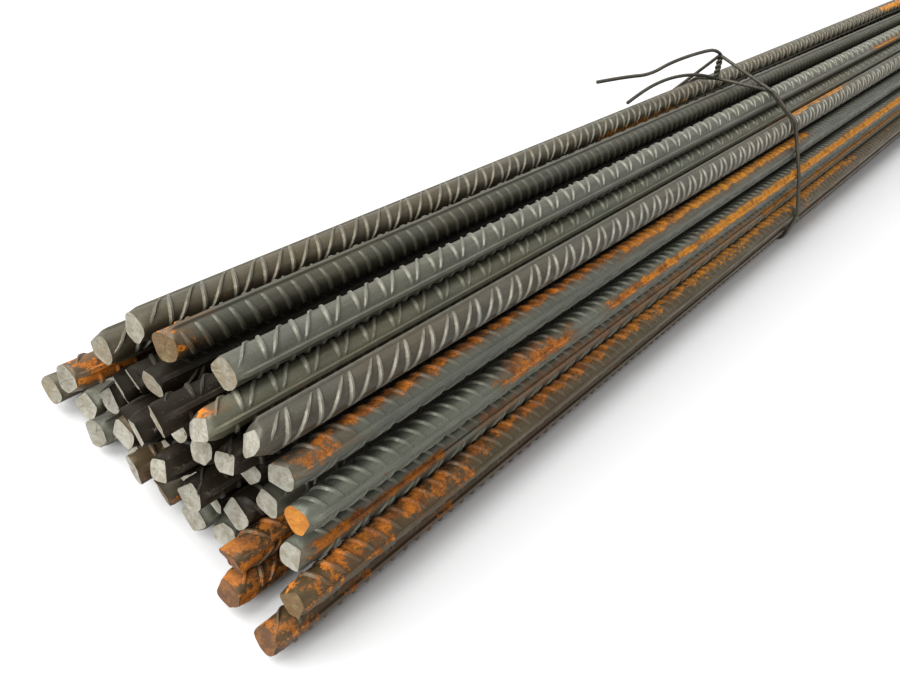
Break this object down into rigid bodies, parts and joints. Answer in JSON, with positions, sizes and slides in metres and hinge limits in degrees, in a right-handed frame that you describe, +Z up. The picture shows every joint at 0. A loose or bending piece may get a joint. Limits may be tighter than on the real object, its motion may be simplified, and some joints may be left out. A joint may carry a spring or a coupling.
{
  "type": "rebar bundle",
  "caption": "Bundle of ribbed steel reinforcing bars with sheared ends, spreading a little at one end and held together by twisted tie wires near both ends.",
  "frame": {"origin": "middle of the bundle, on the surface that it rests on", "axes": "+X along the bars from the spread ends to the tight ends, +Z up"},
  "size_m": [2.0304, 0.1408, 0.0931],
  "materials": {
    "bar_steel": "dark grey mill scale with orange surface rust in streaks, paler where the ribs are rubbed and at the sheared ends",
    "tie_wire": "dull black annealed wire"
  },
  "bodies": {
    "root": {"bar_01": "bar_steel", "bar_02": "bar_steel", "bar_03": "bar_steel", "bar_04": "bar_steel", "bar_05": "bar_steel", "bar_06": "bar_steel", "bar_07": "bar_steel", "bar_08": "bar_steel", "bar_09": "bar_steel", "bar_10": "bar_steel", "bar_11": "bar_steel", "bar_12": "bar_steel", "bar_13": "bar_steel", "bar_14": "bar_steel", "bar_15": "bar_steel", "bar_16": "bar_steel", "bar_17": "bar_steel", "bar_18": "bar_steel", "bar_19": "bar_steel", "bar_20": "bar_steel", "bar_21": "bar_steel", "bar_22": "bar_steel", "bar_23": "bar_steel", "bar_24": "bar_steel", "bar_25": "bar_steel", "bar_26": "bar_steel", "bar_27": "bar_steel", "bar_28": "bar_steel", "bar_29": "bar_steel", "bar_30": "bar_steel", "bar_31": "bar_steel", "bar_32": "bar_steel", "bar_33": "bar_steel", "bar_34": "bar_steel", "bar_35": "bar_steel", "bar_36": "bar_steel", "bar_37": "bar_steel", "bar_38": "bar_steel", "bar_39": "bar_steel", "bar_40": "bar_steel", "bar_41": "bar_steel", "bar_42": "bar_steel", "front_tie_wire": "tie_wire", "rear_tie_wire": "tie_wire"}
  },
  "joints": []
}
